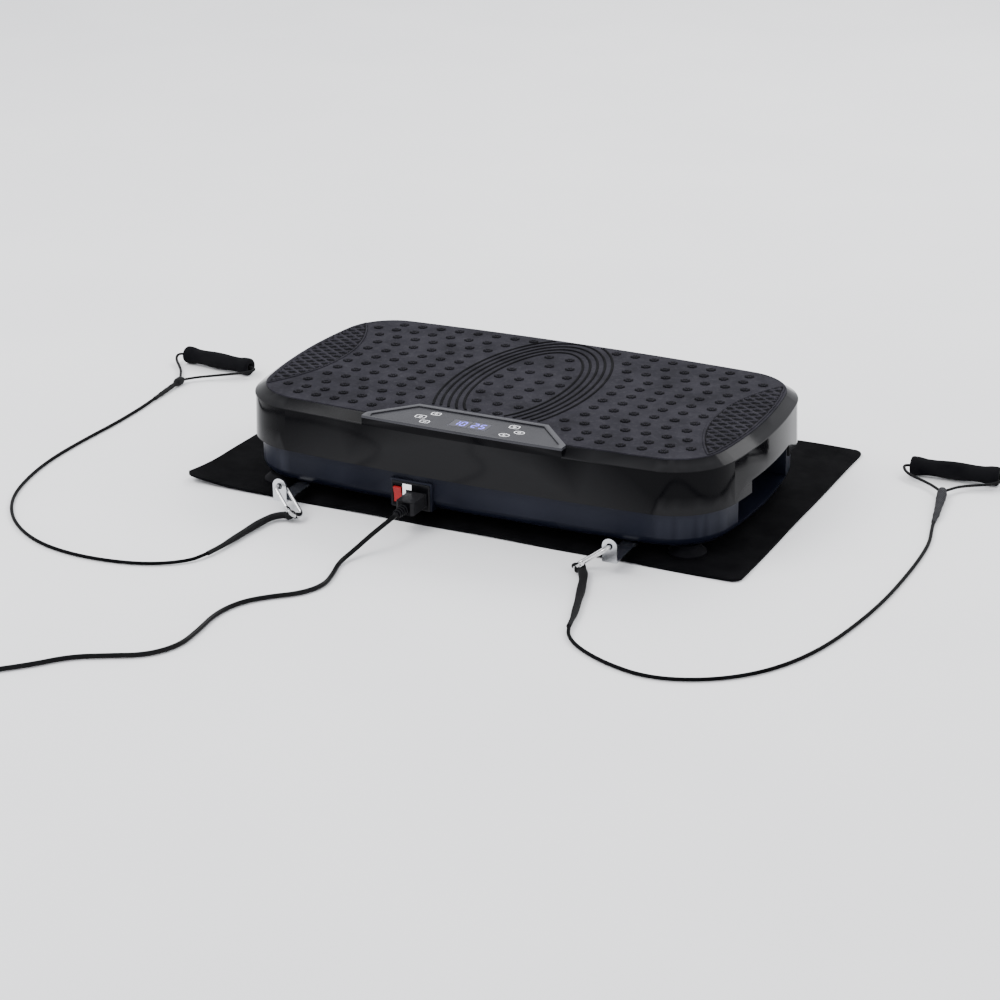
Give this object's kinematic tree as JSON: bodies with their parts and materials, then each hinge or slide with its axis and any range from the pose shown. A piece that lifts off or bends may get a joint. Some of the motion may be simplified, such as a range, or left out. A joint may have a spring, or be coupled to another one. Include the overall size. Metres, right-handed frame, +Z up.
{
  "type": "vibration plate",
  "caption": "Low oscillating exercise platform that rocks on a base tray, with elastic hand bands, a floor mat and a mains lead.",
  "frame": {"origin": "on the floor, under the middle of the platform", "axes": "+X along the platform to the right, +Y to the back away from the control panel, +Z up"},
  "size_m": [1.0934, 0.9785, 0.1154],
  "materials": {
    "band_rubber": "black elastic tube",
    "bearing_steel": "ground",
    "belt_rubber": "black",
    "black_plastic": "black moulded plastic",
    "board": "green circuit board",
    "cast_blocks": "cast, machined bores",
    "cord_jacket": "black PVC jacket",
    "foam": "black foam sleeve",
    "foot_rubber": "black suction cup",
    "frame_steel": "black powder coat",
    "hook_chrome": "nickel plated wire",
    "mat_rubber": "thin black rubber sheet",
    "motor_case": "cast end bells, ribbed can",
    "pan_plastic": "satin blue-charcoal moulded plastic",
    "panel_plastic": "satin grey moulded plastic",
    "pulley": "turned",
    "red_plastic": "red rocker",
    "screw_steel": "zinc plated",
    "shaft_steel": "turned",
    "shell_plastic": "gloss black moulded plastic",
    "tread_rubber": "matt dark grey rubber with raised studs",
    "webbing": "black woven nylon",
    "window": "dark tinted display window",
    "zinc_steel": "zinc plated sheet steel"
  },
  "bodies": {
    "base": {"band_cord_left": "band_rubber", "band_cord_right": "band_rubber", "band_lug_left": "zinc_steel", "band_lug_right": "zinc_steel", "band_strap_left": "webbing", "band_strap_right": "webbing", "base_pan": "pan_plastic", "base_screws": "screw_steel", "chassis_plate": "frame_steel", "cord_connector": "black_plastic", "cord_tie": "black_plastic", "crank_bearings": "bearing_steel", "crank_block_front": "cast_blocks", "crank_block_rear": "cast_blocks", "drive_belt": "belt_rubber", "floor_mat": "mat_rubber", "foam_grip_left": "foam", "foam_grip_right": "foam", "foot_front_left": "foot_rubber", "foot_front_right": "foot_rubber", "foot_rear_left": "foot_rubber", "foot_rear_right": "foot_rubber", "handle_loop_left": "webbing", "handle_loop_right": "webbing", "mains_inlet": "black_plastic", "mains_plug": "black_plastic", "motor_body": "motor_case", "motor_bracket": "frame_steel", "pivot_block_front": "cast_blocks", "pivot_block_rear": "cast_blocks", "pivot_bushes": "bearing_steel", "power_board": "board", "power_cord": "cord_jacket", "power_cord_coil": "cord_jacket", "power_cord_end": "cord_jacket", "snap_hook_left": "hook_chrome", "snap_hook_right": "hook_chrome"},
    "platform": {"upper_shell": "shell_plastic", "tread_mat": "tread_rubber", "control_fascia": "panel_plastic", "display_window": "window", "control_board": "board", "deck_plate": "frame_steel", "deck_screws": "screw_steel", "frame_rail_front": "frame_steel", "frame_rail_rear": "frame_steel", "pivot_bracket_front": "frame_steel", "pivot_bracket_rear": "frame_steel", "pivot_pins": "shaft_steel", "rod_bracket": "frame_steel", "wrist_pin": "shaft_steel"},
    "crank": {"crankshaft": "shaft_steel", "crank_pulley": "pulley"},
    "conrod": {"connecting_rod": "cast_blocks", "rod_bearing": "bearing_steel"},
    "rotor": {"motor_shaft": "shaft_steel", "motor_pulley": "pulley"},
    "rocker": {"switch_rocker": "red_plastic"},
    "gate_left": {"snap_gate_left": "hook_chrome"},
    "gate_right": {"snap_gate_right": "hook_chrome"}
  },
  "joints": [
    {"name": "platform_rock", "type": "hinge", "parent": "base", "child": "platform", "pos_m": [0, 0, 0.076], "axis": [0, 1, 0], "range_deg": [-1, 1]},
    {"name": "crank_spin", "type": "hinge", "parent": "base", "child": "crank", "pos_m": [0.12, 0, 0.053], "axis": [0, 1, 0], "continuous": true},
    {"name": "rod_swing", "type": "hinge", "parent": "crank", "child": "conrod", "pos_m": [0.122, 0, 0.053], "axis": [0, 1, 0], "continuous": true},
    {"name": "motor_spin", "type": "hinge", "parent": "base", "child": "rotor", "pos_m": [-0.14, 0, 0.056], "axis": [0, 1, 0], "continuous": true},
    {"name": "power_switch", "type": "hinge", "parent": "base", "child": "rocker", "pos_m": [-0.077, -0.1605, 0.03], "axis": [1, 0, 0], "range_deg": [-16, 0]},
    {"name": "gate_left_swing", "type": "hinge", "parent": "base", "child": "gate_left", "pos_m": [-0.18379, -0.22394, 0.01533], "axis": [0.5767, 0, 0.817], "range_deg": [0, 25], "stiffness_Nm_per_rad": 0.02, "springref_deg": -5.73},
    {"name": "gate_right_swing", "type": "hinge", "parent": "base", "child": "gate_right", "pos_m": [0.16933, -0.21762, 0.01249], "axis": [0.5924, 0, -0.8057], "range_deg": [0, 25], "stiffness_Nm_per_rad": 0.02, "springref_deg": -5.73}
  ],
  "couplings": [
    {"joint": "rod_swing", "follows": "crank_spin", "ratio": -1},
    {"joint": "motor_spin", "follows": "crank_spin", "ratio": 2}
  ]
}
